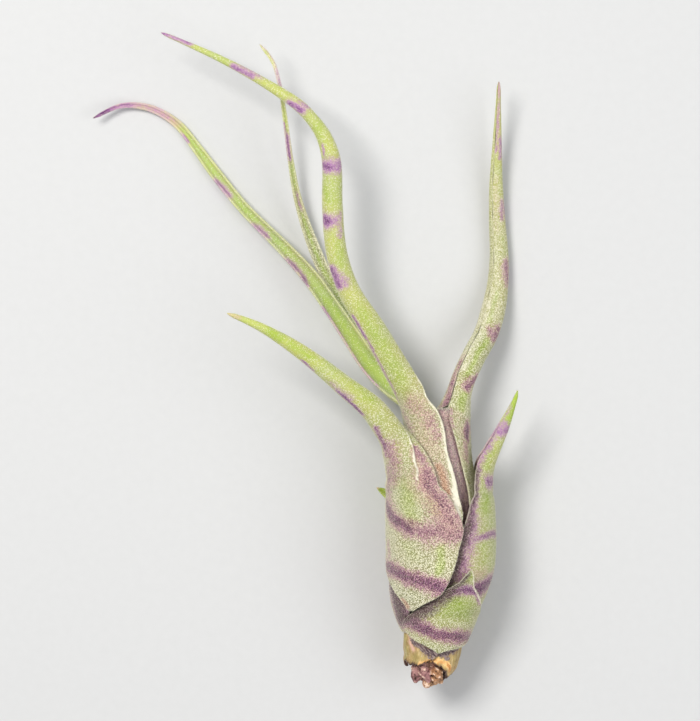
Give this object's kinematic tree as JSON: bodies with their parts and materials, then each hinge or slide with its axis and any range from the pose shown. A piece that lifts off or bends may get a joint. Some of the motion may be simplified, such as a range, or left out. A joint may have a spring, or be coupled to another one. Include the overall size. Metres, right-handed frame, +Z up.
{
  "type": "medusas head air plant",
  "caption": "Bulbous air plant with clasping silvery green leaves banded in purple, rolled into long twisting tails above a short woody stem end, lying on its back.",
  "frame": {"origin": "middle of the plant's box, on the surface that it lies on", "axes": "+Y from the stem end to the leaf tips, +X to the plant's right as seen from the front, +Z up, towards the front of the plant"},
  "size_m": [0.1178, 0.1804, 0.0325],
  "materials": {
    "stem": "rough, dry and knotted",
    "dry_sheath": "matte, papery and torn at the rim",
    "leaf": "matte, frosted with fine silvery scales over green with purple bands"
  },
  "bodies": {
    "root": {"stem_stub": "stem", "old_sheath_left": "dry_sheath", "old_sheath_right": "dry_sheath", "leaf_short_front": "leaf", "leaf_short_back": "leaf", "leaf_right": "leaf", "leaf_front_left": "leaf", "leaf_tall_front": "leaf", "leaf_tall_right": "leaf", "leaf_long_left": "leaf", "leaf_thin_back": "leaf", "leaf_heart": "leaf"}
  },
  "joints": []
}
